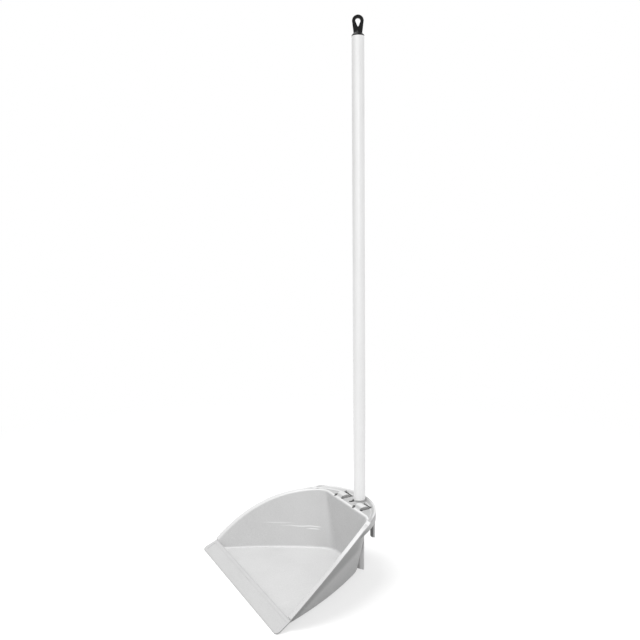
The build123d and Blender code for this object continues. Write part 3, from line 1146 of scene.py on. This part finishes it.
def add_floor(settings):
    """A wide pale floor that shows white, with the dustpan's own soft shadow on it."""
    half = 14.0
    middle = (0.0, 0.0, 0.0)
    seen_colour = (0.95, 0.95, 0.95)
    fade_length = 3.0
    mesh = bpy.data.meshes.new("studio_floor")
    corners = [(-half, -half, 0.0), (half, -half, 0.0), (half, half, 0.0), (-half, half, 0.0)]
    mesh.from_pydata(corners, [], [(0, 1, 2, 3)])
    floor = bpy.data.objects.new("studio_floor", mesh)
    bpy.context.scene.collection.objects.link(floor)
    material, finish = new_material("studio_floor")
    seen = seen_directly(finish)
    away = distance(finish, local_place(finish), middle)
    far = rise(finish, away, Fade(settings.shadow_reach, fade_length * settings.shadow_reach))
    colour = blend(finish, seen, settings.floor_colour, seen_colour)
    plain = finish.node("ShaderNodeBsdfDiffuse", sockets={"Color": colour})
    white = finish.node("ShaderNodeEmission", sockets={"Color": 1.0, "Strength": 1.0})
    share = seen * (settings.floor_white + (1.0 - settings.floor_white) * far)
    shader = finish.node("ShaderNodeMixShader", sockets={0: share, 1: plain, 2: white})
    finish.node("ShaderNodeOutputMaterial", sockets={"Surface": shader})
    mesh.materials.append(material)


def add_surround(settings):
    """Even light from all round, seen as white."""
    world = bpy.data.worlds.new("studio_surround")
    world.use_nodes = True
    finish = Finish(world)
    seen = seen_directly(finish)
    strength = settings.sky + (1.0 - settings.sky) * seen
    light = finish.node("ShaderNodeBackground", sockets={"Color": 1.0, "Strength": strength})
    finish.node("ShaderNodeOutputWorld", sockets={"Surface": light})
    bpy.context.scene.world = world


# Operators

class DUSTPAN_OT_pan(bpy.types.Operator):
    """Finish the moulded pan"""

    bl_idname = "dustpan.pan"
    bl_label = "Pan Body"

    def execute(self, context):
        dress("pan_body", finish_pan(context.scene.dustpan_pan))
        return {"FINISHED"}


class DUSTPAN_OT_lip(bpy.types.Operator):
    """Finish the soft front lip"""

    bl_idname = "dustpan.lip"
    bl_label = "Lip Strip"

    def execute(self, context):
        dress("lip_strip", finish_lip(context.scene.dustpan_lip))
        return {"FINISHED"}


class DUSTPAN_OT_handle(bpy.types.Operator):
    """Finish the handle's tube, its white skin and the plug in its lower end"""

    bl_idname = "dustpan.handle"
    bl_label = "Handle"

    def execute(self, context):
        settings = context.scene.dustpan_handle
        dress("handle_sleeve", finish_sleeve(settings))
        dress("handle_tube", finish_tube(settings))
        dress("end_plug", finish_plug(settings))
        return {"FINISHED"}


class DUSTPAN_OT_cap(bpy.types.Operator):
    """Finish the black hanging cap"""

    bl_idname = "dustpan.cap"
    bl_label = "Hanging Cap"

    def execute(self, context):
        dress("hanging_cap", finish_cap(context.scene.dustpan_cap))
        return {"FINISHED"}


class DUSTPAN_OT_stage(bpy.types.Operator):
    """Add the floor, the lamps, the surround and the camera"""

    bl_idname = "dustpan.stage"
    bl_label = "Stage"

    def execute(self, context):
        settings = context.scene.dustpan_stage
        context.scene.view_settings.view_transform = "Standard"
        add_floor(settings)
        add_surround(settings)
        add_camera(settings)
        target = (0.0, 0.0, 0.25)
        top_size = 1.2
        top_place = (-0.45, -0.45, 2.25)
        front_size = 0.9
        front_place = (2.0, -0.7, 0.9)
        add_lamp("top_lamp", settings.top_lamp, top_size, top_place, target)
        add_lamp("front_lamp", settings.front_lamp, front_size, front_place, target)
        return {"FINISHED"}


class DUSTPAN_PT_build(bpy.types.Panel):
    """Lists the dustpan's pieces and its stage"""

    bl_idname = "DUSTPAN_PT_build"
    bl_label = "Long-Handled Dustpan"
    bl_space_type = "VIEW_3D"
    bl_region_type = "UI"
    bl_category = "Dustpan"

    def draw(self, context):
        for operator in operators:
            self.layout.operator(operator.bl_idname)
        for group in setting_groups:
            box = self.layout.box()
            settings = getattr(context.scene, group)
            for name in settings.__annotations__:
                box.prop(settings, name)


setting_groups = {
    "dustpan_pan": PanSettings,
    "dustpan_lip": LipSettings,
    "dustpan_handle": HandleSettings,
    "dustpan_cap": CapSettings,
    "dustpan_stage": StageSettings,
}
operators = (
    DUSTPAN_OT_pan,
    DUSTPAN_OT_lip,
    DUSTPAN_OT_handle,
    DUSTPAN_OT_cap,
    DUSTPAN_OT_stage,
)


def register():
    for name, group in setting_groups.items():
        bpy.utils.register_class(group)
        setattr(bpy.types.Scene, name, PointerProperty(type=group))
    for operator in operators:
        bpy.utils.register_class(operator)
    bpy.utils.register_class(DUSTPAN_PT_build)


def unregister():
    bpy.utils.unregister_class(DUSTPAN_PT_build)
    for operator in reversed(operators):
        bpy.utils.unregister_class(operator)
    for name, group in reversed(setting_groups.items()):
        delattr(bpy.types.Scene, name)
        bpy.utils.unregister_class(group)


def main():
    register()
    bpy.ops.dustpan.pan()
    bpy.ops.dustpan.lip()
    bpy.ops.dustpan.handle()
    bpy.ops.dustpan.cap()
    bpy.ops.dustpan.stage()


if __name__ == "__main__":
    main()
